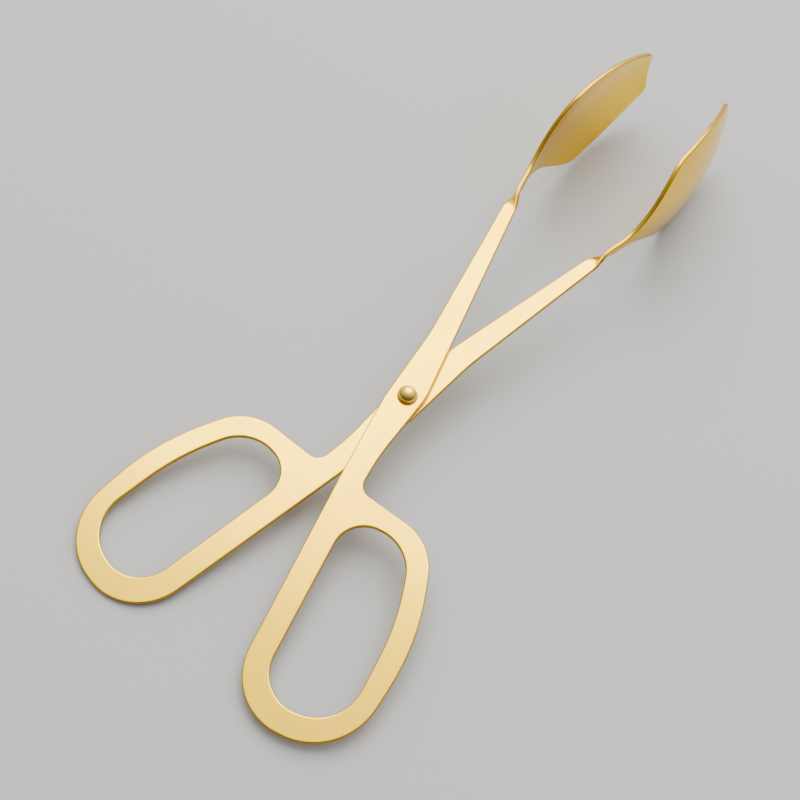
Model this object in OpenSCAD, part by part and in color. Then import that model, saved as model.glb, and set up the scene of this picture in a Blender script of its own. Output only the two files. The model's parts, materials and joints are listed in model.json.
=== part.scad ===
// Scissor-style ice tongs: two arms of bent sheet on one domed rivet.
// Each arm is one blank: a finger loop, a flat tapering arm, a quarter twist and an upright
// dished blade.
// The tongs lie on a table as they rest there: on the ends of the loops and the lower edge of a blade.
// +Y points to the blades, +X to the right seen from above, +Z up. Millimetres.

/* [Sheet] */
// Thickness of the sheet that both arms are cut from
sheet_t = 1.5; // [1:0.1:2.5]
// Gap between the two flat arms, filled by the washer at the pivot
washer_t = 0.3; // [0.2:0.05:0.8]

/* [Arm] */
// Width of an arm across the pivot
pivot_w = 11.4; // [8:0.2:16]
// Distance from the pivot to the start of the twist
arm_len = 72; // [50:1:100]
// Width of the arm where the twist starts
twist_w = 4.4; // [3:0.1:8]
// How far the twist stands off the centre line while the blades are closed
twist_offset = 9.1; // [6:0.1:14]

/* [Finger loop] */
// Distance from the pivot to the end of the loop, along the loop
handle_len = 106; // [80:1:140]
// Distance from the pivot to the shoulder above the finger hole
neck_len = 33; // [28:1:45]
// Width of the neck between the pivot and the loop
neck_w = 7.4; // [5:0.1:10]
// Outer width of the loop at its widest
loop_w = 41.2; // [34:0.5:55]
// Width of the band on the straight inner side
band_inner = 7.9; // [5:0.1:10]
// Width of the band around the end of the loop
band_end = 7; // [5:0.1:10]
// Width of the band on the outer side
band_outer = 7.3; // [5:0.1:10]
// Angle that the loop's inner side leans away from the centre line while the blades are closed
loop_lean = 8.2; // [0:0.1:14]

/* [Blade] */
// Distance from the start of the twist to the tip, along the centre line
blade_len = 81; // [60:1:120]
// Length of the quarter twist
twist_len = 10; // [8:1:20]
// Height of the neck between the twist and the blade
blade_neck_h = 3.4; // [2.5:0.1:6]
// Height of the blade at its belly
belly_h = 38; // [24:1:50]
// Height of the straight cut at the tip
tip_h = 18.5; // [8:0.5:24]
// How far the blade bows away from the centre line at its widest, measured past the twist
blade_bow = 4.4; // [0:0.1:10]
// How far the middle of the tip hangs below the flat arm
tip_drop = 9.6; // [0:0.2:14]
// Radius of the shallow dish across the blade
dish_r = 52; // [35:1:120]

/* [Rivet] */
// Diameter of the rivet's shank
shank_d = 4; // [3:0.1:6]
// Diameter of the domed head
head_d = 6.4; // [5.5:0.1:10]
// Height of the domed head
head_h = 3; // [1:0.1:3]
// Diameter of the closed end, flush with the lower arm's underside
tail_d = 5.8; // [4.4:0.1:7]
// Depth of the countersink that the closed end fills
tail_h = 0.7; // [0.4:0.1:0.9]
// Radial clearance of the upper arm and the washer on the shank
running_fit = 0.05; // [0.02:0.01:0.1]
// Free play along the rivet on each side of the upper arm
end_play = 0.05; // [0.03:0.01:0.2]
// Diameter of the washer
washer_d = 9; // [7.4:0.2:12]

/* [Pose] */
// Angle between the two arms, from the blades closed to the way they lie
open_angle = 10.5; // [0:0.1:30]

/* [Hidden] */
gold = [0.83, 0.68, 0.42];
polished_gold = [0.80, 0.62, 0.34];

LEFT = -1;
RIGHT = 1;
tip_gap = 0.25;                     // left between the tips when the blades are closed
stub = 1;                           // depth of the twist's root inside the flat arm
root_inset = 0.1;                   // how much smaller that root is on each side
root_lap = 0.01;                    // how far the twist's first section stands proud of the flat
cut = 1;                            // how far a cutter runs past the sheet
arc_step = 7;                       // degrees for each edge of a rounded corner
dome_step = 4;                      // degrees for each step of the dome's curve
rings = 64;                         // sections along the twist and the blade
ribs = 10;                          // steps across the width of a section
bore_fn = 64;
dome_fn = 96;

swell_gap = 4.5;                    // straight neck between the twist and the leaf
belly_share = 0.48;                 // where the belly stands, as a share of the leaf's length
fall_power = 2.5;                   // how late the leaf narrows towards the tip
drop_pace = 1.08;                   // how soon the drop is complete, 1 being at the tip
bow_start = 0.99;                   // pull of the bow where it leaves the twist
bow_end = 1.7;                      // pull of the bow where it turns back to the tip

tip_y = arm_len + blade_len;
blade_start = arm_len + twist_len + swell_gap;
belly_start = blade_start + belly_share * (tip_y - blade_start);
upper_z = washer_t + 2 * end_play;            // underside of the upper arm; the lower arm's top is zero
tip_offset = tip_gap / 2 + sheet_t / 2 + pow(tip_h / 2, 2) / (2 * dish_r);
sink_slope = (tail_d - shank_d) / tail_h;

// ---- smooth steps and curves ----
function clamp01(v) = min(1, max(0, v));
function smooth(v) = let (c = clamp01(v)) c * c * (3 - 2 * c);
function bezier(p, t) =
    pow(1 - t, 3) * p[0] + 3 * t * pow(1 - t, 2) * p[1] + 3 * t * t * (1 - t) * p[2] + pow(t, 3) * p[3];

// ---- centre line of the arm and blade, for the arm whose blade lies on the +X side ----
bow_y = [arm_len, arm_len + blade_len / 3, arm_len + 2 * blade_len / 3, tip_y];
bow_x = [
    twist_offset,
    twist_offset + bow_start * blade_bow,
    twist_offset + bow_end * blade_bow,
    tip_offset
];
function along(y) = (y - arm_len) / blade_len;
function centre_x(y) = bezier(bow_x, along(y));
function centre_z(y) = -tip_drop * smooth(along(y) * drop_pace);
function slope_x(y) = (centre_x(y + 0.01) - centre_x(y - 0.01)) / 0.02;

// ---- size of the section along the arm and blade ----
function swell(y) = smooth((y - blade_start) / (belly_start - blade_start));
function fall(y) = pow(clamp01((y - belly_start) / (tip_y - belly_start)), fall_power);
function half_height(y) =
    (twist_w + (blade_neck_h - twist_w) * smooth((y - arm_len) / twist_len)) / 2
    + (belly_h - blade_neck_h) / 2 * swell(y)
    - (belly_h - tip_h) / 2 * fall(y);
function turn(y) = 90 * smooth((y - arm_len) / twist_len);
function dish(y, w) = pow(w, 2) / (2 * dish_r) * smooth((y - arm_len) / twist_len);

// ---- one section: across is from -1 to 1 over the width, face is -1 below and 1 above the sheet ----
function section_point(y, side, across, face, inset = 0) =
    let (
        s = side * slope_x(y),
        right = [1, -s, 0] / norm([1, -s, 0]),
        up = [0, 0, 1],
        a = turn(y),
        wide = right * cos(a) + up * sin(a),
        thick = up * cos(a) - right * sin(a),
        w = across * (half_height(y) - inset),
        t = face * (sheet_t / 2 - inset)
    )
    [side * centre_x(y), y, centre_z(y)] + wide * w + thick * t - right * side * dish(y, w);

function ring(y, side, inset = 0) = concat(
    [for (i = [0 : ribs]) section_point(y, side, 2 * i / ribs - 1, -1, inset)],
    [for (i = [ribs : -1 : 0]) section_point(y, side, 2 * i / ribs - 1, 1, inset)]
);

// The twist and blade, swept along the centre line, with a root that sits inside the flat arm
module twisted_blade(side) {
    n = 2 * (ribs + 1);
    root = [for (p = ring(arm_len, side, root_inset)) p - [side * slope_x(arm_len), 1, 0] * stub];
    sweep = [
        for (k = [0 : rings])
            each ring(arm_len + blade_len * k / rings, side, k == 0 ? -root_lap : 0)
    ];
    points = concat(root, sweep);
    last = (rings + 1) * n;
    strips = [
        for (k = [0 : rings], i = [0 : n - 1])
            let (j = (i + 1) % n)
            each [[k * n + i, (k + 1) * n + j, (k + 1) * n + i], [k * n + i, k * n + j, (k + 1) * n + j]]
    ];
    root_cap = [for (i = [0 : ribs - 1]) each [[i, n - 2 - i, i + 1], [i, n - 1 - i, n - 2 - i]]];
    tip_cap = [
        for (i = [0 : ribs - 1])
            let (j = last + n - 2 - i)
            each [[last + i, last + i + 1, j], [last + i, j, j + 1]]
    ];
    polyhedron(points, concat(strips, root_cap, tip_cap));
}

// ---- outlines: each corner is [x, y, radius] ----
function unit(v) = v / norm(v);
function corner_arc(before, corner, after) =
    let (
        p = [corner[0], corner[1]],
        edge_a = [before[0], before[1]] - p,
        edge_b = [after[0], after[1]] - p,
        a = unit(edge_a),
        b = unit(edge_b),
        half = acos(max(-1, min(1, a * b))) / 2,
        room = 0.48 * min(norm(edge_a), norm(edge_b)) * tan(half),
        r = min(corner[2], room),
        centre = p + unit(a + b) * r / sin(half),
        from = p + a * r / tan(half) - centre,
        to = p + b * r / tan(half) - centre,
        a0 = atan2(from[1], from[0]),
        sweep = (atan2(to[1], to[0]) - a0 + 540) % 360 - 180,
        n = max(1, ceil(abs(sweep) / arc_step))
    )
    r == 0 ? [p] : [for (i = [0 : n]) centre + r * [cos(a0 + sweep * i / n), sin(a0 + sweep * i / n)]];
function rounded(corners) =
    let (n = len(corners))
    [for (i = [0 : n - 1]) each corner_arc(corners[(i + n - 1) % n], corners[i], corners[(i + 1) % n])];
function flipped(points) = [for (p = points) [-p[0], p[1]]];
function turned(p, angle) =
    [p[0] * cos(angle) - p[1] * sin(angle), p[0] * sin(angle) + p[1] * cos(angle)];

// The loop is drawn upright and then leaned; its inner side is a straight line at loop_in
loop_in = -7.2;
loop_out = loop_in + loop_w;
function leaned(corners) = [for (c = corners) concat(turned([c[0], c[1]], loop_lean), c[2])];
loop_corners = leaned([
    [loop_in, -handle_len, 20],
    [loop_out - 4, -handle_len - 0.3, 20],
    [loop_out + 0.9, -neck_len - 35, 78],
    [loop_out - 7.4, -neck_len - 6, 17],
    [loop_in + neck_w, -neck_len - 0.3, 4]
]);
hole_corners = leaned([
    [loop_in + band_inner + 0.3, -neck_len - 8.6, 9.4],
    [loop_out - band_outer - 5.8, -neck_len - 9.6, 14.5],
    [loop_out - band_outer + 0.3, -neck_len - 32, 74],
    [loop_out - band_outer - 0.8, -handle_len + band_end + 0.8, 14],
    [loop_in + band_inner - 0.6, -handle_len + band_end - 0.5, 12]
]);

// The flat blank of the arm whose loop lies on the +X side and whose blade lies on the -X side
twist_right = section_point(arm_len, LEFT, 1, 1);
twist_left = section_point(arm_len, LEFT, -1, 1);
blank_corners = concat(
    [
        [twist_left[0], twist_left[1], 0],
        [-pivot_w / 2 - 0.3, 21, 60],
        [-pivot_w / 2 - 0.1, -4, 20],
        [turned([loop_in, -neck_len], loop_lean)[0], -neck_len + 1, 40]
    ],
    loop_corners,
    [
        [pivot_w / 2 - 1.8, -neck_len + 12, 60],
        [pivot_w / 2 - 0.5, 2, 25],
        [twist_right[0], twist_right[1], 0]
    ]
);
blank_outline = rounded(blank_corners);
hole_outline = rounded(hole_corners);

// One arm in its own frame: pivot on the Z axis, underside of the flat on z = 0, blades closed
module arm(side, bore_d, countersunk) {
    outline = side == LEFT ? blank_outline : flipped(blank_outline);
    hole = side == LEFT ? hole_outline : flipped(hole_outline);
    difference() {
        union() {
            linear_extrude(sheet_t) polygon(outline);
            translate([0, 0, sheet_t / 2]) twisted_blade(side);
        }
        translate([0, 0, -cut]) linear_extrude(sheet_t + 2 * cut) polygon(hole);
        translate([0, 0, -cut]) cylinder(d = bore_d, h = sheet_t + 2 * cut, $fn = bore_fn);
        if (countersunk)
            translate([0, 0, -cut])
                cylinder(d1 = tail_d + sink_slope * cut, d2 = shank_d, h = tail_h + cut, $fn = bore_fn);
    }
}

// ---- how the tongs lie: tilted until a blade's lower edge and the loop's end touch the table ----
half_open = open_angle / 2;
heel_y = min([for (p = blank_outline) turned(p, half_open)[1]]);
station_y = [for (k = [0 : rings]) arm_len + blade_len * k / rings];
function lower_edge(y) = section_point(y, LEFT, -1, 0) - [0, 0, sheet_t / 2];
function opened_y(p) = turned([p[0], p[1]], half_open)[1];
rest_tilt = max([
    for (y = station_y)
        let (e = lower_edge(y))
        atan2(-sheet_t - e[2], opened_y(e) - heel_y)
]);
tip_points = ring(tip_y, LEFT);
function tilted_y(y, z) = y * cos(rest_tilt) - z * sin(rest_tilt);
back_y = tilted_y(heel_y, upper_z + sheet_t);
front_y = max([for (p = tip_points) tilted_y(opened_y(p), p[2] - sheet_t / 2)]);
rest_z = -(heel_y * sin(rest_tilt) - sheet_t * cos(rest_tilt));

module lying() {
    translate([0, -(back_y + front_y) / 2, rest_z]) rotate([rest_tilt, 0, 0]) children();
}

module lower_arm() {
    color(gold) lying() rotate([0, 0, -half_open]) translate([0, 0, -sheet_t])
        arm(RIGHT, shank_d, true);
}

module upper_arm() {
    color(gold) lying() rotate([0, 0, half_open]) translate([0, 0, upper_z])
        arm(LEFT, shank_d + 2 * running_fit, false);
}

module washer() {
    color("gainsboro") lying() difference() {
        cylinder(d = washer_d, h = washer_t, $fn = dome_fn);
        translate([0, 0, -cut])
            cylinder(d = shank_d + 2 * running_fit, h = washer_t + 2 * cut, $fn = bore_fn);
    }
}

// A spherical cap on the plane z = 0, of the given base diameter and height
module dome(d, h) {
    r = (d * d / 4 + h * h) / (2 * h);
    rim = asin(min(1, d / 2 / r));
    edge = h > d / 2 ? 180 - rim : rim;
    steps = ceil(edge / dome_step);
    curve = [
        for (i = [0 : steps])
            let (a = edge * (1 - i / steps))
            [r * sin(a), r * cos(a) + h - r]
    ];
    rotate_extrude($fn = dome_fn) polygon(concat([[0, 0]], curve));
}

module rivet() {
    head_z = upper_z + sheet_t + end_play;
    color(polished_gold) lying() union() {
        translate([0, 0, head_z]) dome(head_d, head_h);
        translate([0, 0, -sheet_t])
            cylinder(d = shank_d, h = head_z + sheet_t + head_h / 2, $fn = bore_fn);
        translate([0, 0, -sheet_t])
            cylinder(d1 = tail_d, d2 = shank_d, h = tail_h, $fn = bore_fn);
    }
}

lower_arm();
washer();
upper_arm();
rivet();
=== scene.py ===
import json
import math

import bmesh
import bpy
import numpy as np
from bpy.props import FloatProperty, FloatVectorProperty, IntProperty, PointerProperty
from bpy.types import Operator, Panel, PropertyGroup
from mathutils import Matrix, Vector
from mathutils.geometry import tessellate_polygon


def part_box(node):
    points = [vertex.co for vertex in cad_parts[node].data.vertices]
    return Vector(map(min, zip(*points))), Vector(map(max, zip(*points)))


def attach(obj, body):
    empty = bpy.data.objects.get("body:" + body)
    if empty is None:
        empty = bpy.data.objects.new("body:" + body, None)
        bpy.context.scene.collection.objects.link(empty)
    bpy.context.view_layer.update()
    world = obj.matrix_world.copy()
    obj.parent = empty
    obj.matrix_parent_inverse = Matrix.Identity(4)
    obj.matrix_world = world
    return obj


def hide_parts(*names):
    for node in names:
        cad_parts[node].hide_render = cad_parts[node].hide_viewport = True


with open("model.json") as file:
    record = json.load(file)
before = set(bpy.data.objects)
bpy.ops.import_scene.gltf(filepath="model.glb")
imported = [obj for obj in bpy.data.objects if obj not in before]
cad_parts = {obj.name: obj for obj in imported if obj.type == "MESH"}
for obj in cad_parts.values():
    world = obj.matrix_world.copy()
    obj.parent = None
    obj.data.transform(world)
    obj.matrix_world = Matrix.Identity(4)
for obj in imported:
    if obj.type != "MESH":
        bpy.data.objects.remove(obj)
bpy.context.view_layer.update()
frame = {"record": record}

bl_info = {
    "name": "Ice Tongs",
    "version": (1, 0, 0),
    "blender": (4, 5, 0),
    "location": "View3D > Sidebar > Ice Tongs",
    "description": "Finishes a pair of scissor-style ice tongs over its engineering model",
    "category": "Add Mesh",
}

MM = 0.001
LEFT, RIGHT = -1, 1

JOINT = frame["record"]["behaviour"]["joints"][0]
PIVOT = Vector(JOINT["pos_m"])
PIVOT_AXIS = Vector(JOINT["axis"])
TILT = math.atan2(-PIVOT_AXIS.y, PIVOT_AXIS.z)
SLOT_COLOURS = {m["slot"]: m["base_color"] for m in frame["record"]["materials"]}
BOX_TOLERANCE = 0.3 * MM
WELD = 1e-8
SEAM_WELD = 1e-7
BORE_SEGMENTS = 96
BORE_BREAK = 0.05 * MM  # small bevel at the mouth of a bore
BORE_RING = 3 * BORE_BREAK  # ring of flat face round that mouth
DOME_STEPS = 40


# ---------------------------------------------------------------- settings


def size(name, description, default_mm, low_mm=0.0):
    return FloatProperty(
        name=name, description=description, default=default_mm * MM, min=low_mm * MM,
        precision=5, unit="LENGTH", subtype="DISTANCE",
    )


def share(name, description, default):
    return FloatProperty(
        name=name, description=description, default=default, min=0.0, max=1.0, subtype="FACTOR",
    )


def angle(name, description, default_degrees):
    return FloatProperty(
        name=name, description=description, default=math.radians(default_degrees), subtype="ANGLE",
    )


def power(name, description, default):
    return FloatProperty(name=name, description=description, default=default, min=0, unit="POWER")


def steps(name, description, default, low, high):
    return IntProperty(name=name, description=description, default=default, min=low, max=high)


def brightness(name, description, default):
    return FloatProperty(name=name, description=description, default=default, min=0)


def colour(name, description, default):
    return FloatVectorProperty(
        name=name, description=description, default=default, size=3, min=0.0, max=1.0, subtype="COLOR",
    )


class TONGS_ArmSettings(PropertyGroup):
    """Sizes of the flat arm and its finger loop"""

    sheet: size("Sheet", "Thickness of the sheet", 1.5, 0.8)
    edge: size("Edge radius", "Rounding along every sheet edge", 0.45, 0.05)
    pivot_width: size("Pivot width", "Width of the arm across the pivot", 11.4, 8)
    length: size("Arm length", "From the pivot to the start of the twist", 72, 40)
    twist_width: size("Twist width", "Width of the arm where the twist starts", 4.4, 3)
    twist_offset: size("Twist offset", "Twist's distance from the centre line, closed", 9.1, 5)
    handle: size("Handle length", "From the pivot to the end of the loop", 106, 80)
    neck: size("Neck length", "From the pivot to the shoulder above the loop", 33, 25)
    neck_width: size("Neck width", "Width of the neck above the loop", 7.4, 4)
    loop_width: size("Loop width", "Outer width of the loop", 41.2, 30)
    band_inner: size("Inner band", "Band on the loop's straight side", 7.9, 4)
    band_end: size("End band", "Band round the loop's end", 7.0, 4)
    band_outer: size("Outer band", "Band on the loop's outer side", 7.3, 4)
    lean: angle("Lean", "Lean of the loop, closed", 8.2)
    opening: angle("Opening", "Angle between the arms as they lie", 10.5)


class TONGS_BladeSettings(PropertyGroup):
    """Sizes of the twist and the dished blade"""

    length: size("Blade length", "From the start of the twist to the tip", 81, 50)
    twist: size("Twist length", "Length of the quarter twist", 10, 8)
    neck_height: size("Neck height", "Height between the twist and the blade", 3.4, 2)
    belly: size("Belly height", "Height of the blade at its belly", 38, 20)
    tip: size("Tip height", "Height of the cut at the tip", 18.5, 8)
    bow: size("Bow", "How far the blade bows outwards", 4.4)
    drop: size("Drop", "How far the tip hangs below the arm", 9.6)
    dish: size("Dish radius", "Radius of the dish across the blade", 52, 30)
    corner: size("Tip corner", "Rounding of the two corners at the tip", 1.0)
    rings: steps("Rings", "Sections along the twist and blade", 190, 40, 400)
    ribs: steps("Ribs", "Steps across the blade", 20, 6, 60)


class TONGS_RivetSettings(PropertyGroup):
    """Sizes of the rivet and the washer"""

    shank: size("Shank", "Diameter of the shank", 4.0, 2)
    head: size("Head", "Diameter of the domed head", 6.4, 4)
    head_height: size("Head height", "Height of the domed head", 3.0, 0.5)
    tail: size("Tail", "Diameter of the flush closed end", 5.8, 4)
    tail_depth: size("Tail depth", "Depth of the countersink", 0.7, 0.2)
    fit: size("Running fit", "Radial clearance on the shank", 0.05)
    play: size("End play", "Play along the rivet on each side", 0.05)
    washer: size("Washer", "Diameter of the washer", 9.0, 5)
    washer_thickness: size("Washer thickness", "Thickness of the washer", 0.3, 0.1)
    segments: steps("Segments", "Facets round the rivet and the washer", 128, 24, 256)


class TONGS_FinishSettings(PropertyGroup):
    """Colours and gloss of the metals"""

    pale_gold: colour("Pale gold", "Light tone of the satin plating", (1.0, 0.66, 0.025))
    warm_gold: colour("Warm gold", "Deeper tone of the satin plating", (0.95, 0.47, 0.02))
    # painted shade: this brown on the sheet's side walls stands in for their dark reflections
    edge_painted_shade: colour("Painted edge shade", "Brown painted shade on the sheet's side walls", (0.30, 0.13, 0.012))
    polished_gold: colour("Polished gold", "Tone of the rivet", (1.0, 0.66, 0.12))
    steel: colour("Steel", "Tone of the washer", tuple(SLOT_COLOURS["plain_steel"]))
    satin: share("Satin roughness", "Roughness of the brushed faces", 0.19)
    polish: share("Polished roughness", "Roughness of the rivet", 0.20)
    wear: share("Edge wear", "How bright the rubbed edges are", 0.35)


class TONGS_StageSettings(PropertyGroup):
    """Floor, lights and camera"""

    floor: colour("Floor", "Colour of the floor", (0.38, 0.38, 0.375))
    surroundings: colour("Surroundings", "Colour of the room", (0.70, 0.69, 0.68))
    room_light: brightness("Room light", "Strength of the room's light", 4.0)
    dim_light: brightness("Dim light", "Light from the room's dark side", 0.12)
    key_light: power("Key light", "Power of the large soft light", 28.0)
    fill_light: power("Fill light", "Power of the low side light", 2.0)
    lens: FloatProperty(name="Lens", description="Focal length", default=64.35, min=10, unit="CAMERA")


GROUPS = {
    "tongs_arm": TONGS_ArmSettings,
    "tongs_blade": TONGS_BladeSettings,
    "tongs_rivet": TONGS_RivetSettings,
    "tongs_finish": TONGS_FinishSettings,
    "tongs_stage": TONGS_StageSettings,
}


# ---------------------------------------------------------------- curves shared by the arm and the blade


def smooth(v):
    c = min(1.0, max(0.0, v))
    return c * c * (3 - 2 * c)


def turned(p, angle):
    c, s = math.cos(angle), math.sin(angle)
    return np.array([p[0] * c - p[1] * s, p[0] * s + p[1] * c])


class ArmShape:
    """The rule that one arm's flat, twist and blade follow, pivot at the origin and blades closed"""

    swell_gap = 4.5 * MM  # from the end of the twist to where the leaf starts to widen
    belly_share = 0.48  # how far along the leaf its belly lies
    fall_power = 2.5
    drop_pace = 1.08
    bow_start = 0.99
    bow_end = 1.7
    tip_gap = 0.25 * MM
    loop_in = -7.2 * MM  # the loop's straight side, left of the pivot
    slope_step = 0.01 * MM
    support = 0.2 * MM  # strip of flat face between the rounded edge and the rest
    edge_steps = 4
    corner_steps = 10
    end_steps = 5
    end_share = 0.97  # how much of the quarter turn the rounded end takes
    arc_step = math.radians(3.0)
    corner_reach = 0.48  # share of a side that one rounded corner may use

    def __init__(self, arm, blade):
        self.arm, self.blade = arm, blade
        self.tip_y = arm.length + blade.length
        self.leaf_y = arm.length + blade.twist + self.swell_gap
        self.belly_y = self.leaf_y + self.belly_share * (self.tip_y - self.leaf_y)
        tip_x = self.tip_gap / 2 + arm.sheet / 2 + (blade.tip / 2) ** 2 / (2 * blade.dish)
        self.bow_x = (
            arm.twist_offset,
            arm.twist_offset + self.bow_start * blade.bow,
            arm.twist_offset + self.bow_end * blade.bow,
            tip_x,
        )

    def along(self, y):
        return (y - self.arm.length) / self.blade.length

    def centre_x(self, y):
        t = self.along(y)
        weights = ((1 - t) ** 3, 3 * t * (1 - t) ** 2, 3 * t * t * (1 - t), t**3)
        return sum(w * x for w, x in zip(weights, self.bow_x))

    def centre_z(self, y):
        return -self.blade.drop * smooth(self.along(y) * self.drop_pace)

    def twisted(self, y):
        return smooth((y - self.arm.length) / self.blade.twist)

    def half_height(self, y):
        arm, blade = self.arm, self.blade
        swell = smooth((y - self.leaf_y) / (self.belly_y - self.leaf_y))
        fall = min(1.0, max(0.0, (y - self.belly_y) / (self.tip_y - self.belly_y))) ** self.fall_power
        neck = arm.twist_width + (blade.neck_height - arm.twist_width) * self.twisted(y)
        gain, loss = blade.belly - blade.neck_height, blade.belly - blade.tip
        return neck / 2 + gain / 2 * swell - loss / 2 * fall

    def section_axes(self, y, side):
        step = self.slope_step
        slope = side * (self.centre_x(y + step) - self.centre_x(y - step)) / (2 * step)
        right = np.array([1.0, -slope, 0.0])
        right /= np.linalg.norm(right)
        up = np.array([0.0, 0.0, 1.0])
        a = math.pi / 2 * self.twisted(y)
        return right, right * math.cos(a) + up * math.sin(a), up * math.cos(a) - right * math.sin(a)

    def section(self, y, side, profile, half):
        """Points of a section from (distance across, height off the middle of the sheet) pairs"""
        right, wide, thick = self.section_axes(y, side)
        centre = np.array([side * self.centre_x(y), y, self.centre_z(y)])
        points = []
        for across, height in profile(half):
            dish = across**2 / (2 * self.blade.dish) * self.twisted(y)
            points.append(centre + wide * across + thick * height - right * side * dish)
        return points

    def edge_profile(self, inset=0.0):
        """(distance in from the edge, height off the sheet's middle, share of side wall), going up"""
        r, t = self.arm.edge, self.arm.sheet / 2
        angles = [math.pi / 2 * k / self.edge_steps for k in range(self.edge_steps + 1)]
        arc = [(math.sin(a), math.cos(a)) for a in angles]
        low = [(r - (r - inset) * s, -(t - r) - (r - inset) * c, s) for s, c in arc]
        high = [(r - (r - inset) * c, (t - r) + (r - inset) * s, c) for s, c in arc]
        inner = r + self.support
        return [(inner, inset - t, 0.0), *low, *high, (inner, t - inset, 0.0)]

    def ring_profile(self, inset=0.0):
        """The whole section: left edge up, top face to the right, right edge down, underside back"""
        edge = self.edge_profile(inset)
        inner, t, steps = self.arm.edge + self.support, self.arm.sheet / 2 - inset, self.blade.ribs

        def profile(half):
            flat = [(half - inner) * (2 * k / steps - 1) for k in range(1, steps)]
            return (
                [(d - half, h) for d, h, _ in edge]
                + [(a, t) for a in flat]
                + [(half - d, h) for d, h, _ in reversed(edge)]
                + [(-a, -t) for a in flat]
            )

        return profile

    def ring_rim(self):
        edge = [rim for _, _, rim in self.edge_profile()]
        flat = [0.0] * (self.blade.ribs - 1)
        return edge + flat + edge[::-1] + flat

    # ---- outline of the flat blank, for the arm with its loop at +X and its blade at -X;
    # ---- corners are (x, y, rounding) and the lengths in them are the blank's own proportions

    def corner_arc(self, before, corner, after):
        p = np.array(corner[:2])
        edge_a, edge_b = np.array(before[:2]) - p, np.array(after[:2]) - p
        if corner[2] == 0:
            return [p]
        len_a, len_b = np.linalg.norm(edge_a), np.linalg.norm(edge_b)
        a, b = edge_a / len_a, edge_b / len_b
        half = math.acos(max(-1.0, min(1.0, float(a @ b)))) / 2
        r = min(corner[2], self.corner_reach * min(len_a, len_b) * math.tan(half))
        centre = p + (a + b) / np.linalg.norm(a + b) * r / math.sin(half)
        start, stop = p + a * r / math.tan(half) - centre, p + b * r / math.tan(half) - centre
        a0 = math.atan2(start[1], start[0])
        sweep = (math.atan2(stop[1], stop[0]) - a0 + 3 * math.pi) % (2 * math.pi) - math.pi
        n = max(2, math.ceil(abs(sweep) / self.arc_step))
        angles = [a0 + sweep * i / n for i in range(n + 1)]
        return [centre + r * np.array([math.cos(a), math.sin(a)]) for a in angles]

    def rounded(self, corners):
        count = len(corners)
        return [
            q
            for i in range(count)
            for q in self.corner_arc(corners[i - 1], corners[i], corners[(i + 1) % count])
        ]

    def leaned(self, corners):
        return [(*turned((x, y), self.arm.lean), r) for x, y, r in corners]

    def blank_path(self):
        """The open path down the left side, round the loop and back up to the twist"""
        arm = self.arm
        loop_in, loop_out = self.loop_in, self.loop_in + arm.loop_width
        right, _, _ = self.section_axes(arm.length, LEFT)
        root = np.array([-arm.twist_offset, arm.length])
        half = right[:2] * self.half_height(arm.length)
        loop = self.leaned([
            (loop_in, -arm.handle, 20 * MM),
            (loop_out - 4 * MM, -arm.handle - 0.3 * MM, 20 * MM),
            (loop_out + 0.9 * MM, -arm.neck - 35 * MM, 78 * MM),
            (loop_out - 7.4 * MM, -arm.neck - 6 * MM, 17 * MM),
            (loop_in + arm.neck_width, -arm.neck - 0.3 * MM, 4 * MM),
        ])
        corners = [
            (*(root - half), 0),
            (-arm.pivot_width / 2 - 0.3 * MM, 21 * MM, 60 * MM),
            (-arm.pivot_width / 2 - 0.1 * MM, -4 * MM, 20 * MM),
            (turned((loop_in, -arm.neck), arm.lean)[0], -arm.neck + 1 * MM, 40 * MM),
            *loop,
            (arm.pivot_width / 2 - 1.8 * MM, -arm.neck + 12 * MM, 60 * MM),
            (arm.pivot_width / 2 - 0.5 * MM, 2 * MM, 25 * MM),
            (*(root + half), 0),
        ]
        return self.rounded(corners)

    def hole_path(self):
        arm = self.arm
        loop_in, loop_out = self.loop_in + arm.band_inner, self.loop_in + arm.loop_width - arm.band_outer
        end = -arm.handle + arm.band_end
        return self.rounded(self.leaned([
            (loop_in + 0.3 * MM, -arm.neck - 8.6 * MM, 9.4 * MM),
            (loop_out - 5.8 * MM, -arm.neck - 9.6 * MM, 14.5 * MM),
            (loop_out + 0.3 * MM, -arm.neck - 32 * MM, 74 * MM),
            (loop_out - 0.8 * MM, end + 0.8 * MM, 14 * MM),
            (loop_in - 0.6 * MM, end - 0.5 * MM, 12 * MM),
        ]))

    def stations(self):
        """(y, how far the tip's corners are cut in, inset for the rounded end) for each section"""
        arm, blade = self.arm, self.blade
        c, e = blade.corner, arm.edge
        end_y = self.tip_y - e
        run = end_y - c - arm.length
        plain = [(arm.length + run * k / blade.rings, 0.0, 0.0) for k in range(blade.rings)]
        corner = [math.pi / 2 * k / self.corner_steps for k in range(self.corner_steps + 1)]
        cut = [(end_y - c + c * math.sin(a), c * (1 - math.cos(a)), 0.0) for a in corner]
        quarter = math.pi / 2 * self.end_share
        rounding = [quarter * k / self.end_steps for k in range(1, self.end_steps + 1)]
        end = [(end_y + e * math.sin(a), c, e * (1 - math.cos(a))) for a in rounding]
        return plain + cut + end


def mirrored(path):
    return [np.array([-p[0], p[1]]) for p in reversed(path)]


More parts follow.
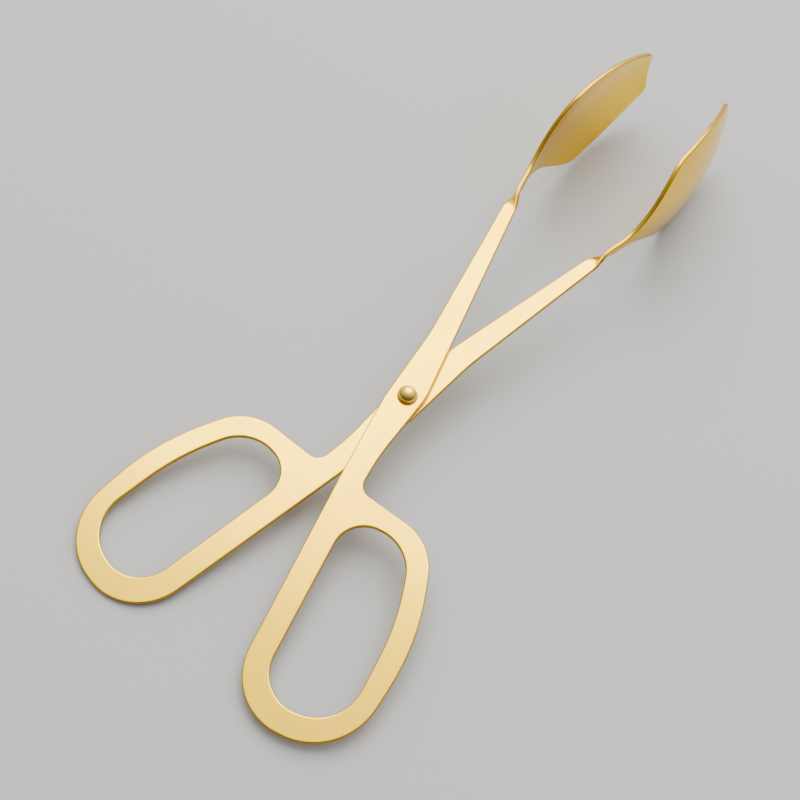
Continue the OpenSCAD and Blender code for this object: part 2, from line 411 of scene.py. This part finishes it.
def inward(path, closed, first=None, last=None):
    """Unit directions into the metal, which lies on the left of the path, lengthened at corners"""
    pts = np.array(path)
    ahead = np.roll(pts, -1, 0) - pts
    behind = pts - np.roll(pts, 1, 0)
    if not closed:
        ahead[-1], behind[0] = behind[-1], ahead[0]
    ahead /= np.linalg.norm(ahead, axis=1)[:, None]
    behind /= np.linalg.norm(behind, axis=1)[:, None]
    tangent = ahead + behind
    tangent /= np.linalg.norm(tangent, axis=1)[:, None]
    stretch = 1 / np.maximum(0.5, (tangent * ahead).sum(1))
    normals = np.c_[-tangent[:, 1], tangent[:, 0]] * stretch[:, None]
    if not closed:
        normals[0], normals[-1] = first, last
    return normals


class SheetMesh:
    """Vertices, faces, unrolled positions and shares of side wall of one arm"""

    def __init__(self):
        self.points, self.faces, self.unrolled, self.rim = [], [], [], []

    def add(self, point, unrolled, rim):
        self.points.append(tuple(point))
        self.unrolled.append((float(unrolled[0]), float(unrolled[1])))
        self.rim.append(rim)
        return len(self.points) - 1

    def wall(self, rows, closed):
        """Faces between rows of vertices that run from the underside to the top"""
        count = len(rows)
        for i in range(count if closed else count - 1):
            here, after = rows[i], rows[(i + 1) % count]
            for k in range(len(here) - 1):
                self.faces.append((here[k], after[k], after[k + 1], here[k + 1]))

    def face(self, outline, holes, up):
        """A flat face with holes"""
        loops = [outline, *holes]
        flat = [i for loop in loops for i in loop]
        shapes = [[Vector(self.points[i]) for i in loop] for loop in loops]
        for a, b, c in tessellate_polygon(shapes):
            tri = [flat[a], flat[b], flat[c]]
            p, q, r = (np.array(self.points[i][:2]) for i in tri)
            turn = (q[0] - p[0]) * (r[1] - p[1]) - (q[1] - p[1]) * (r[0] - p[0])
            if (turn > 0) != up:
                tri.reverse()
            self.faces.append(tuple(tri))


def build_sheet(shape, side, bore_profile):
    """One arm as a closed mesh: flat blank, quarter twist and dished blade"""
    arm = shape.arm
    mesh = SheetMesh()
    middle = arm.sheet / 2
    blank, hole = shape.blank_path(), shape.hole_path()
    if side == RIGHT:
        blank, hole = mirrored(blank), mirrored(hole)
    right = shape.section_axes(arm.length, side)[0][:2]
    edge = shape.edge_profile()

    def edge_rows(path, closed, first=None, last=None):
        rows = []
        for p, n in zip(path, inward(path, closed, first, last)):
            row = []
            for d, h, rim in edge:
                q = p + n * d
                unrolled = p + n * (d - abs(h) * rim)
                row.append(mesh.add((q[0], q[1], middle + h), unrolled, rim))
            rows.append(row)
        mesh.wall(rows, closed)
        return rows

    sides = edge_rows(blank, False, right, -right)
    finger = edge_rows(hole, True)
    bore = []
    for i in range(BORE_SEGMENTS):
        a = -2 * math.pi * i / BORE_SEGMENTS
        spoke = np.array([math.cos(a), math.sin(a)])
        row = [mesh.add((*(spoke * r), middle + h), spoke * r, 0.0) for r, h in bore_profile]
        bore.append(row)
    mesh.wall(bore, True)

    # the first section of the twist is the end of the flat
    profile, rims = shape.ring_profile(), shape.ring_rim()
    edge_len = len(edge)
    top_end = edge_len + shape.blade.ribs - 1
    far_end = top_end + edge_len
    half = shape.half_height(arm.length)
    ring = []
    for k, point in enumerate(shape.section(arm.length, side, profile, half)):
        if k < edge_len:
            ring.append(sides[0][k])
        elif top_end <= k < far_end:
            ring.append(sides[-1][far_end - 1 - k])
        else:
            ring.append(mesh.add((point[0], point[1], point[2] + middle), point[:2], 0.0))
    top, low = ring[edge_len:top_end], ring[far_end:]
    mesh.face([r[-1] for r in sides] + top[::-1], [[r[-1] for r in finger], [r[-1] for r in bore]], True)
    mesh.face([r[0] for r in sides] + low, [[r[0] for r in finger], [r[0] for r in bore]], False)

    for y, cut, inset in shape.stations()[1:]:
        half = shape.half_height(y) - cut
        section_profile = shape.ring_profile(inset)
        across = [a for a, _ in section_profile(half)]
        after = [
            mesh.add((p[0], p[1], p[2] + middle), (side * arm.twist_offset + a, y), rim)
            for p, a, rim in zip(shape.section(y, side, section_profile, half), across, rims)
        ]
        for j in range(len(ring)):
            k = (j + 1) % len(ring)
            mesh.faces.append((ring[j], ring[k], after[k], after[j]))
        ring = after

    # the cut end, in strips between the top and the underside
    left = [(ring[k], ring[edge_len - 1 - k]) for k in range(edge_len // 2 - 1, -1, -1)]
    flat = list(zip(ring[far_end:][::-1], ring[edge_len:top_end]))
    far = ring[top_end:far_end]
    end = [(far[edge_len - 1 - k], far[k]) for k in range(edge_len // 2)]
    strips = left + flat + end
    for (a, b), (c, d) in zip(strips, strips[1:]):
        mesh.faces.append((b, a, c, d))
    return mesh


# ---------------------------------------------------------------- making objects


def fresh(name):
    old = bpy.data.objects.get(name)
    if old is not None:
        bpy.data.objects.remove(old, do_unlink=True)


def finished_object(name, mesh_data, place, material):
    """Places the mesh, points its normals outwards and checks that it is closed"""
    fresh(name)
    mesh_data.transform(place)
    work = bmesh.new()
    work.from_mesh(mesh_data)
    bmesh.ops.dissolve_degenerate(work, dist=WELD, edges=work.edges)
    bmesh.ops.recalc_face_normals(work, faces=work.faces)
    if work.calc_volume(signed=True) < 0:
        bmesh.ops.reverse_faces(work, faces=work.faces)
    open_edges = sum(not e.is_manifold for e in work.edges)
    for f in work.faces:
        f.smooth = True
    work.to_mesh(mesh_data)
    work.free()
    if open_edges:
        raise RuntimeError(f"{name} has {open_edges} open edges")
    mesh_data.materials.clear()
    mesh_data.materials.append(material)
    obj = bpy.data.objects.new(name, mesh_data)
    bpy.context.scene.collection.objects.link(obj)
    return obj


def check_size(obj, node):
    """Stops if a finished piece has left the space of its engineering node"""
    low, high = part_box(node)
    co = np.array([v.co for v in obj.data.vertices])
    gap = max(np.abs(co.min(0) - np.array(low)).max(), np.abs(co.max(0) - np.array(high)).max())
    if gap > BOX_TOLERANCE:
        raise RuntimeError(f"{obj.name} is {gap / MM:.2f} mm off {node}")


def lying(turn, lift):
    """Places an arm's own frame on the pivot, as the tongs lie"""
    return (
        Matrix.Translation(PIVOT)
        @ Matrix.Rotation(TILT, 4, "X")
        @ Matrix.Rotation(turn, 4, "Z")
        @ Matrix.Translation((0, 0, lift))
    )


def make_arm(scene, name, node, body, side, turn, lift, bore_profile):
    shape = ArmShape(scene.tongs_arm, scene.tongs_blade)
    sheet = build_sheet(shape, side, bore_profile)
    data = bpy.data.meshes.new(name)
    data.from_pydata(sheet.points, [], sheet.faces)
    rim = data.attributes.new("rim", "FLOAT", "POINT")
    rim.data.foreach_set("value", sheet.rim)
    uv = data.uv_layers.new(name="unrolled")
    for loop in data.loops:
        uv.data[loop.index].uv = sheet.unrolled[loop.vertex_index]
    obj = finished_object(name, data, lying(turn, lift), satin_gold(scene.tongs_finish))
    check_size(obj, node)
    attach(obj, body)
    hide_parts(node)
    return obj


# ---------------------------------------------------------------- turned pieces


def feed(tree, socket, value):
    """Sets an input to a plain number or links it to another node's output"""
    if isinstance(value, (int, float)):
        socket.default_value = value
    else:
        tree.links.new(value, socket)


def turning_tree():
    """Turns a row of points in the XZ plane once round the Z axis"""
    tree = bpy.data.node_groups.get("Turned piece")
    if tree is not None:
        return tree
    tree = bpy.data.node_groups.new("Turned piece", "GeometryNodeTree")
    sockets = tree.interface
    sockets.new_socket(name="Profile", in_out="INPUT", socket_type="NodeSocketGeometry")
    segments = sockets.new_socket(name="Segments", in_out="INPUT", socket_type="NodeSocketInt")
    segments.default_value, segments.min_value = 128, 3
    sockets.new_socket(name="Metal", in_out="INPUT", socket_type="NodeSocketMaterial")
    sockets.new_socket(name="Piece", in_out="OUTPUT", socket_type="NodeSocketGeometry")
    new, link = tree.nodes.new, tree.links.new
    given, made = new("NodeGroupInput"), new("NodeGroupOutput")

    def whole(operation, a, b):
        node = new("FunctionNodeIntegerMath")
        node.operation = operation
        feed(tree, node.inputs[0], a)
        feed(tree, node.inputs[1], b)
        return node.outputs[0]

    count = new("GeometryNodeAttributeDomainSize")
    count.component = "MESH"
    link(given.outputs["Profile"], count.inputs["Geometry"])
    points = count.outputs["Point Count"]
    grid = new("GeometryNodeMeshGrid")
    link(whole("ADD", given.outputs["Segments"], 1), grid.inputs["Vertices X"])
    link(points, grid.inputs["Vertices Y"])
    index = new("GeometryNodeInputIndex").outputs[0]
    row, spoke = whole("MODULO", index, points), whole("DIVIDE_FLOOR", index, points)
    sample = new("GeometryNodeSampleIndex")
    sample.data_type = "FLOAT_VECTOR"
    link(given.outputs["Profile"], sample.inputs["Geometry"])
    link(new("GeometryNodeInputPosition").outputs[0], sample.inputs["Value"])
    link(row, sample.inputs["Index"])
    turn = new("ShaderNodeVectorRotate")
    turn.rotation_type = "Z_AXIS"
    link(sample.outputs["Value"], turn.inputs["Vector"])
    around = math_node(tree, "DIVIDE", spoke, given.outputs["Segments"])
    link(math_node(tree, "MULTIPLY", around, 2 * math.pi), turn.inputs["Angle"])
    place = new("GeometryNodeSetPosition")
    link(grid.outputs["Mesh"], place.inputs["Geometry"])
    link(turn.outputs[0], place.inputs["Position"])
    merge = new("GeometryNodeMergeByDistance")
    merge.inputs["Distance"].default_value = SEAM_WELD
    link(place.outputs["Geometry"], merge.inputs["Geometry"])
    real_mesh = new("GeometryNodeRealizeInstances")
    link(merge.outputs["Geometry"], real_mesh.inputs["Geometry"])
    metal = new("GeometryNodeSetMaterial")
    link(real_mesh.outputs["Geometry"], metal.inputs["Geometry"])
    link(given.outputs["Metal"], metal.inputs["Material"])
    link(metal.outputs["Geometry"], made.inputs["Piece"])
    return tree


def turned_piece(name, profile, segments, material, node, body):
    """Makes a round piece from its half profile, a list of (radius, height)"""
    tree = turning_tree()
    source = bpy.data.meshes.new(name + "_profile")
    edges = [(i, i + 1) for i in range(len(profile) - 1)]
    source.from_pydata([(r, 0, z) for r, z in profile], edges, [])
    blank = bpy.data.objects.new(name + "_profile", source)
    bpy.context.scene.collection.objects.link(blank)
    turning = blank.modifiers.new("Turned", "NODES")
    turning.node_group = tree
    inputs = {s.name: s.identifier for s in tree.interface.items_tree if s.in_out == "INPUT"}
    turning[inputs["Segments"]] = segments
    turning[inputs["Metal"]] = material
    depsgraph = bpy.context.evaluated_depsgraph_get()
    data = bpy.data.meshes.new_from_object(blank.evaluated_get(depsgraph))
    blank.modifiers.clear()
    bpy.data.objects.remove(blank)
    data.name = name
    obj = finished_object(name, data, lying(0, 0), material)
    check_size(obj, node)
    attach(obj, body)
    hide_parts(node)
    return obj


def rounded_profile(corners):
    """A half profile from (radius, height, rounding) corners, with five points on each rounding"""
    points = []
    for i, (r, z, round_) in enumerate(corners):
        p = np.array([r, z])
        if round_ == 0 or i in (0, len(corners) - 1):
            points.append(p)
            continue
        a = np.array(corners[i - 1][:2]) - p
        b = np.array(corners[i + 1][:2]) - p
        a, b = a / np.linalg.norm(a), b / np.linalg.norm(b)
        for t in (0, 0.25, 0.5, 0.75, 1):
            points.append(p + a * round_ * (1 - t) ** 2 + b * round_ * t**2)
    return [(float(p[0]), float(p[1])) for p in points]


# ---------------------------------------------------------------- metals

STREAK_SCALE = 0.12  # the wide streaks' lines per metre, next to the fine lines'
PATCH_CONTRAST = 1.4
CLOUD_WARMTH = 0.35  # how far a smudge takes the pale tone to the warm one
STREAK_WARMTH = 0.16
EDGE_PAINTED_SHADE = 0.85  # how far a side wall takes on the brown tone painted as shade
SMUDGE_ROUGH = 0.05
WEAR_ROUGH = -0.06
SPECKLE_HEIGHT = -0.3
BUMP_DEPTH = 0.02 * MM


def node_group(name, inputs, outputs):
    group = bpy.data.node_groups.new(name, "ShaderNodeTree")
    for socket, default in inputs:
        kind = "NodeSocketVector" if default is None else "NodeSocketFloat"
        made = group.interface.new_socket(name=socket, in_out="INPUT", socket_type=kind)
        if default is not None:
            made.default_value = default
    for socket in outputs:
        group.interface.new_socket(name=socket, in_out="OUTPUT", socket_type="NodeSocketFloat")
    return group, group.nodes.new("NodeGroupInput"), group.nodes.new("NodeGroupOutput")


def math_node(tree, operation, a, b=None, c=None, clamp=False):
    node = tree.nodes.new("ShaderNodeMath")
    node.operation, node.use_clamp = operation, clamp
    for socket, value in zip(node.inputs, (a, b, c)):
        if value is not None:
            feed(tree, socket, value)
    return node.outputs[0]


def above(tree, value, threshold, gain):
    """How far a value rises above a threshold, from 0 to 1"""
    over = math_node(tree, "SUBTRACT", value, threshold)
    return math_node(tree, "MULTIPLY", over, gain, clamp=True)


def roughened(tree, lines, middle, spread):
    """Roughness that follows the brushed lines, spread evenly about its middle value"""
    return math_node(tree, "MULTIPLY_ADD", lines, spread, middle - spread / 2)


def noise(tree, vector, scale, detail=2.0, roughness=0.5):
    node = tree.nodes.new("ShaderNodeTexNoise")
    node.inputs["Detail"].default_value = detail
    node.inputs["Roughness"].default_value = roughness
    feed(tree, node.inputs["Scale"], scale)
    tree.links.new(vector, node.inputs["Vector"])
    return node.outputs["Fac"]


def brushed_grain():
    """Fine lines left by the brushing belt: stretched noise, coarse and fine"""
    group = bpy.data.node_groups.get("Brushed grain")
    if group is not None:
        return group
    inputs = [("Vector", None), ("Lines per metre", 9000.0), ("Stretch", 0.02)]
    group, given, made = node_group("Brushed grain", inputs, ["Lines", "Streaks"])
    parts = group.nodes.new("ShaderNodeSeparateXYZ")
    group.links.new(given.outputs["Vector"], parts.inputs[0])
    squeezed = group.nodes.new("ShaderNodeCombineXYZ")
    group.links.new(parts.outputs[0], squeezed.inputs[0])
    along = math_node(group, "MULTIPLY", parts.outputs[1], given.outputs["Stretch"])
    group.links.new(along, squeezed.inputs[1])
    group.links.new(parts.outputs[2], squeezed.inputs[2])
    fine = noise(group, squeezed.outputs[0], given.outputs["Lines per metre"], detail=3.0, roughness=0.6)
    coarse = math_node(group, "MULTIPLY", given.outputs["Lines per metre"], STREAK_SCALE)
    wide = noise(group, squeezed.outputs[0], coarse)
    group.links.new(fine, made.inputs["Lines"])
    group.links.new(wide, made.inputs["Streaks"])
    return group


def handling_marks():
    """Soft cloudy smudges from handling, and a few fine speckles"""
    group = bpy.data.node_groups.get("Handling marks")
    if group is not None:
        return group
    inputs = [("Vector", None), ("Clouds per metre", 45.0), ("Speckles per metre", 900.0)]
    group, given, made = node_group("Handling marks", inputs, ["Smudge", "Speckle"])
    vector = given.outputs["Vector"]
    soft = noise(group, vector, given.outputs["Clouds per metre"], detail=3.0, roughness=0.55)
    dots = noise(group, vector, given.outputs["Speckles per metre"], detail=1.0)
    group.links.new(above(group, soft, threshold=0.42, gain=4.0), made.inputs["Smudge"])
    group.links.new(above(group, dots, threshold=0.68, gain=8.0), made.inputs["Speckle"])
    return group


def edge_wear():
    """Where plating is rubbed bright: the share of side wall broken up by noise"""
    group = bpy.data.node_groups.get("Edge wear")
    if group is not None:
        return group
    inputs = [("Vector", None), ("Rim", 0.0), ("Amount", 0.5), ("Patches per metre", 160.0)]
    group, given, made = node_group("Edge wear", inputs, ["Wear"])
    scale = given.outputs["Patches per metre"]
    patches = noise(group, given.outputs["Vector"], scale, detail=3.0, roughness=0.6)
    low = (1 - PATCH_CONTRAST) / 2
    broken = math_node(group, "MULTIPLY_ADD", patches, PATCH_CONTRAST, low, clamp=True)
    worn = math_node(group, "MULTIPLY", given.outputs["Rim"], given.outputs["Amount"])
    group.links.new(math_node(group, "MULTIPLY", worn, broken, clamp=True), made.inputs["Wear"])
    return group


def placed(tree, group, **values):
    node = tree.nodes.new("ShaderNodeGroup")
    node.node_tree = group
    for name, value in values.items():
        feed(tree, node.inputs[name.replace("_", " ")], value)
    return node.outputs


def mixed(tree, factor, a, b):
    """A colour part of the way from a to b, each a colour or another node's output"""
    node = tree.nodes.new("ShaderNodeMix")
    node.data_type, node.blend_type = "RGBA", "MIX"
    sockets = [s for s in node.inputs if s.type == "RGBA"]
    for socket, value in zip(sockets, (a, b)):
        if isinstance(value, bpy.types.NodeSocket):
            tree.links.new(value, socket)
        else:
            socket.default_value = (*value, 1.0)
    tree.links.new(factor, node.inputs["Factor"])
    return next(s for s in node.outputs if s.type == "RGBA")


def metal(name):
    """A material with an empty metal shader, and its coordinates"""
    material = bpy.data.materials.new(name)
    material.use_nodes = True
    tree = material.node_tree
    tree.nodes.clear()
    shader = tree.nodes.new("ShaderNodeBsdfPrincipled")
    out = tree.nodes.new("ShaderNodeOutputMaterial")
    tree.links.new(shader.outputs[0], out.inputs["Surface"])
    shader.inputs["Metallic"].default_value = 1.0
    where = tree.nodes.new("ShaderNodeTexCoord").outputs["Object"]
    return material, tree, shader, where


def bumped(tree, shader, height, strength, distance):
    bump = tree.nodes.new("ShaderNodeBump")
    bump.inputs["Strength"].default_value = strength
    bump.inputs["Distance"].default_value = distance
    tree.links.new(height, bump.inputs["Height"])
    tree.links.new(bump.outputs[0], shader.inputs["Normal"])


def smudged(tree, smudge, tone, dulling, share_dulled):
    """A tone that darkens towards its dulled self where a smudge lies"""
    dull = tuple(c * dulling for c in tone)
    return mixed(tree, math_node(tree, "MULTIPLY", smudge, share_dulled), tone, dull)


def satin_gold(finish):
    """Satin brushed plating of the arms: pale face, warmer clouds, side walls painted brown as shade,
    rubbed rims
    """
    material = bpy.data.materials.get("Satin gold")
    if material is not None:
        return material
    material, tree, shader, where = metal("Satin gold")
    unrolled = tree.nodes.new("ShaderNodeUVMap")
    unrolled.uv_map = "unrolled"
    rim = tree.nodes.new("ShaderNodeAttribute")
    rim.attribute_name = "rim"
    grain = placed(
        tree, brushed_grain(), Vector=unrolled.outputs[0], Lines_per_metre=9000.0, Stretch=0.03,
    )
    marks = placed(tree, handling_marks(), Vector=where)
    wear = placed(tree, edge_wear(), Vector=where, Rim=rim.outputs["Fac"], Amount=finish.wear)["Wear"]

    clouds = math_node(tree, "MULTIPLY", marks["Smudge"], CLOUD_WARMTH)
    tone = mixed(tree, clouds, finish.pale_gold, finish.warm_gold)
    streaks = math_node(tree, "MULTIPLY", grain["Streaks"], STREAK_WARMTH)
    lined = mixed(tree, streaks, tone, finish.warm_gold)
    # painted shade: the side walls are darkened towards brown
    brown = math_node(tree, "MULTIPLY", rim.outputs["Fac"], EDGE_PAINTED_SHADE)
    edge_painted_shade = mixed(tree, brown, lined, finish.edge_painted_shade)
    tree.links.new(mixed(tree, wear, edge_painted_shade, finish.pale_gold), shader.inputs["Base Color"])

    rough = roughened(tree, grain["Lines"], finish.satin, spread=0.12)
    rough = math_node(tree, "MULTIPLY_ADD", marks["Smudge"], SMUDGE_ROUGH, rough)
    rough = math_node(tree, "MULTIPLY_ADD", wear, WEAR_ROUGH, rough, clamp=True)
    tree.links.new(rough, shader.inputs["Roughness"])
    height = math_node(tree, "MULTIPLY_ADD", marks["Speckle"], SPECKLE_HEIGHT, grain["Lines"])
    bumped(tree, shader, height, strength=0.10, distance=2 * BUMP_DEPTH)
    return material


def polished_gold(finish):
    """Polished plating of the rivet, with fine turning lines and a few handling marks"""
    material = bpy.data.materials.get("Polished gold")
    if material is not None:
        return material
    material, tree, shader, where = metal("Polished gold")
    grain = placed(tree, brushed_grain(), Vector=where, Lines_per_metre=5000.0, Stretch=0.4)
    marks = placed(tree, handling_marks(), Vector=where, Clouds_per_metre=260.0)
    tone = smudged(tree, marks["Smudge"], finish.polished_gold, dulling=0.82, share_dulled=0.5)
    tree.links.new(tone, shader.inputs["Base Color"])
    rough = roughened(tree, grain["Lines"], finish.polish, spread=0.06)
    rough = math_node(tree, "MULTIPLY_ADD", marks["Smudge"], SMUDGE_ROUGH, rough, clamp=True)
    tree.links.new(rough, shader.inputs["Roughness"])
    bumped(tree, shader, grain["Lines"], strength=0.06, distance=BUMP_DEPTH)
    return material


def plain_steel(finish):
    """Plain bright steel of the washer"""
    material = bpy.data.materials.get("Plain steel")
    if material is not None:
        return material
    material, tree, shader, where = metal("Plain steel")
    grain = placed(tree, brushed_grain(), Vector=where, Lines_per_metre=6000.0, Stretch=0.1)
    marks = placed(tree, handling_marks(), Vector=where, Clouds_per_metre=200.0)
    tone = smudged(tree, marks["Smudge"], finish.steel, dulling=0.8, share_dulled=0.4)
    tree.links.new(tone, shader.inputs["Base Color"])
    rough = roughened(tree, grain["Lines"], middle=0.295, spread=0.15)
    tree.links.new(rough, shader.inputs["Roughness"])
    bumped(tree, shader, grain["Lines"], strength=0.08, distance=BUMP_DEPTH)
    return material


# ---------------------------------------------------------------- operators


class TONGS_OT_make_upper_arm(Operator):
    """Make the arm on top, with the right finger loop and the left blade"""

    bl_idname = "tongs.make_upper_arm"
    bl_label = "Upper Arm"

    def execute(self, context):
        scene = context.scene
        rivet, t = scene.tongs_rivet, scene.tongs_arm.sheet / 2
        r, c, ring = rivet.shank / 2 + rivet.fit, BORE_BREAK, BORE_RING
        bore = [(r + ring, -t), (r + c, -t), (r, c - t), (r, t - c), (r + c, t), (r + ring, t)]
        lift = rivet.washer_thickness + 2 * rivet.play
        turn = scene.tongs_arm.opening / 2
        make_arm(scene, "arm_upper", "upper_arm", "upper_half", LEFT, turn, lift, bore)
        return {"FINISHED"}


class TONGS_OT_make_lower_arm(Operator):
    """Make the arm below, with the left finger loop and the right blade"""

    bl_idname = "tongs.make_lower_arm"
    bl_label = "Lower Arm"

    def execute(self, context):
        scene = context.scene
        rivet, t = scene.tongs_rivet, scene.tongs_arm.sheet / 2
        r, wide, c, ring = rivet.shank / 2, rivet.tail / 2, BORE_BREAK, BORE_RING
        sink = rivet.tail_depth - t
        bore = [(wide + ring, -t), (wide, -t), (r, sink), (r, t - c), (r + c, t), (r + ring, t)]
        lift, turn = -scene.tongs_arm.sheet, -scene.tongs_arm.opening / 2
        make_arm(scene, "arm_lower", "lower_arm", "lower_half", RIGHT, turn, lift, bore)
        return {"FINISHED"}


class TONGS_OT_make_rivet(Operator):
    """Make the domed rivet that the arms turn on"""

    bl_idname = "tongs.make_rivet"
    bl_label = "Rivet"

    def execute(self, context):
        scene = context.scene
        rivet, sheet = scene.tongs_rivet, scene.tongs_arm.sheet
        seat = rivet.washer_thickness + 2 * rivet.play + sheet + rivet.play
        half, high = rivet.head / 2, rivet.head_height
        ball = (half**2 + high**2) / (2 * high)
        rim = math.asin(min(1.0, half / ball))
        angles = [rim * k / DOME_STEPS for k in range(DOME_STEPS)]
        dome = [(ball * math.sin(a), seat + high - ball + ball * math.cos(a), 0) for a in angles]
        rim_round, shank_round = 0.12 * MM, 0.05 * MM
        body = [
            (half, seat, rim_round),
            (rivet.shank / 2, seat, shank_round),
            (rivet.shank / 2, rivet.tail_depth - sheet, shank_round),
            (rivet.tail / 2, -sheet, rim_round),
            (0, -sheet, 0),
        ]
        turned_piece(
            "rivet_domed", rounded_profile(dome + body), rivet.segments,
            polished_gold(scene.tongs_finish), "rivet", "lower_half",
        )
        return {"FINISHED"}


class TONGS_OT_make_washer(Operator):
    """Make the thin washer between the arms"""

    bl_idname = "tongs.make_washer"
    bl_label = "Washer"

    def execute(self, context):
        scene = context.scene
        rivet = scene.tongs_rivet
        bore, rim, thick = rivet.shank / 2 + rivet.fit, rivet.washer / 2, rivet.washer_thickness
        r = 0.06 * MM  # rounding of every edge
        start = (bore, thick / 2, 0)
        corners = [(bore, 0, r), (rim, 0, r), (rim, thick, r), (bore, thick, r)]
        profile = rounded_profile([start, *corners, start])
        turned_piece(
            "washer_thin", profile, rivet.segments,
            plain_steel(scene.tongs_finish), "washer", "lower_half",
        )
        return {"FINISHED"}


# ---------------------------------------------------------------- stage

FLOOR_REACH = 3.0
FLOOR_ROUGHNESS = 0.75
ROOM_BRIGHT_SIDE = Vector((-0.25, 0.6, 0.76)).normalized()
ROOM_FALLOFF = 4.0  # a higher power keeps the light nearer the bright side
LIGHT_TARGET = Vector((0, 0, 0.01))
KEY = {"extent": (1.3, 1.3), "location": (-0.30, 0.69, 1.03), "tint": (1.0, 0.98, 0.95)}
FILL = {"extent": (0.6, 0.6), "location": (0.9, -0.3, 0.6), "tint": (0.93, 0.96, 1.0)}
CAMERA_LOCATION = Vector((0.1145, -0.2128, 0.3822))
CAMERA_TARGET = Vector((-0.0007, -0.0293, 0.015))
CAMERA_ROLL = math.radians(7.37)
SENSOR_MM = 36
CLIP_NEAR, CLIP_FAR = 0.01, 20


def aimed(location, target):
    return (Vector(target) - Vector(location)).to_track_quat("-Z", "Y")


def soft_light(name, watts, extent, location, tint):
    data = bpy.data.lights.new(name, "AREA")
    data.shape, data.size, data.size_y = "RECTANGLE", extent[0], extent[1]
    data.energy, data.color = watts, tint
    lamp = bpy.data.objects.new(name, data)
    lamp.location = location
    lamp.rotation_mode = "QUATERNION"
    lamp.rotation_quaternion = aimed(location, LIGHT_TARGET)
    bpy.context.scene.collection.objects.link(lamp)
    return lamp


class TONGS_OT_make_stage(Operator):
    """Make the floor, the soft lights and the camera"""

    bl_idname = "tongs.make_stage"
    bl_label = "Stage"

    def execute(self, context):
        scene = context.scene
        stage = scene.tongs_stage
        for name in ("floor", "key_soft", "fill_soft", "camera"):
            fresh(name)

        floor_data = bpy.data.meshes.new("floor")
        r = FLOOR_REACH
        floor_data.from_pydata([(-r, -r, 0), (r, -r, 0), (r, r, 0), (-r, r, 0)], [], [(0, 1, 2, 3)])
        material = bpy.data.materials.new("Pale floor")
        material.use_nodes = True
        shader = material.node_tree.nodes["Principled BSDF"]
        shader.inputs["Base Color"].default_value = (*stage.floor, 1)
        shader.inputs["Roughness"].default_value = FLOOR_ROUGHNESS
        floor_data.materials.append(material)
        floor = bpy.data.objects.new("floor", floor_data)
        scene.collection.objects.link(floor)

        world = bpy.data.worlds.new("Room")
        world.use_nodes = True
        scene.world = world
        tree = world.node_tree
        back = tree.nodes["Background"]
        back.inputs["Color"].default_value = (*stage.surroundings, 1)
        facing = tree.nodes.new("ShaderNodeVectorMath")
        facing.operation = "DOT_PRODUCT"
        tree.links.new(tree.nodes.new("ShaderNodeTexCoord").outputs["Generated"], facing.inputs[0])
        facing.inputs[1].default_value = ROOM_BRIGHT_SIDE
        bright = math_node(tree, "MULTIPLY_ADD", facing.outputs["Value"], 0.5, 0.5, clamp=True)
        bright = math_node(tree, "POWER", bright, ROOM_FALLOFF)
        strength = math_node(tree, "MULTIPLY_ADD", bright, stage.room_light, stage.dim_light)
        tree.links.new(strength, back.inputs["Strength"])

        soft_light("key_soft", stage.key_light, **KEY)
        soft_light("fill_soft", stage.fill_light, **FILL).visible_glossy = False

        camera_data = bpy.data.cameras.new("camera")
        camera_data.lens, camera_data.sensor_width = stage.lens, SENSOR_MM
        camera_data.clip_start, camera_data.clip_end = CLIP_NEAR, CLIP_FAR
        camera = bpy.data.objects.new("camera", camera_data)
        camera.location = CAMERA_LOCATION
        camera.rotation_mode = "QUATERNION"
        roll = Matrix.Rotation(CAMERA_ROLL, 4, "Z").to_quaternion()
        camera.rotation_quaternion = aimed(CAMERA_LOCATION, CAMERA_TARGET) @ roll
        scene.collection.objects.link(camera)
        scene.camera = camera
        return {"FINISHED"}


# ---------------------------------------------------------------- panel


OPERATORS = (
    TONGS_OT_make_stage,
    TONGS_OT_make_upper_arm,
    TONGS_OT_make_lower_arm,
    TONGS_OT_make_washer,
    TONGS_OT_make_rivet,
)


class TONGS_PT_panel(Panel):
    """Lists the pieces of the tongs and their settings"""

    bl_idname = "TONGS_PT_panel"
    bl_label = "Ice Tongs"
    bl_space_type = "VIEW_3D"
    bl_region_type = "UI"
    bl_category = "Ice Tongs"

    def draw(self, context):
        layout = self.layout
        for operator in OPERATORS:
            layout.operator(operator.bl_idname)
        for name, group in GROUPS.items():
            settings = getattr(context.scene, name)
            box = layout.box()
            box.label(text=name.replace("tongs_", "").title())
            for item in group.__annotations__:
                box.prop(settings, item)


CLASSES = (*GROUPS.values(), *OPERATORS, TONGS_PT_panel)


def register():
    for cls in CLASSES:
        bpy.utils.register_class(cls)
    for name, group in GROUPS.items():
        setattr(bpy.types.Scene, name, PointerProperty(type=group))


def unregister():
    for name in GROUPS:
        delattr(bpy.types.Scene, name)
    for cls in reversed(CLASSES):
        bpy.utils.unregister_class(cls)


def main():
    register()
    bpy.ops.tongs.make_stage()
    bpy.ops.tongs.make_upper_arm()
    bpy.ops.tongs.make_lower_arm()
    bpy.ops.tongs.make_washer()
    bpy.ops.tongs.make_rivet()


if __name__ == "__main__":
    main()
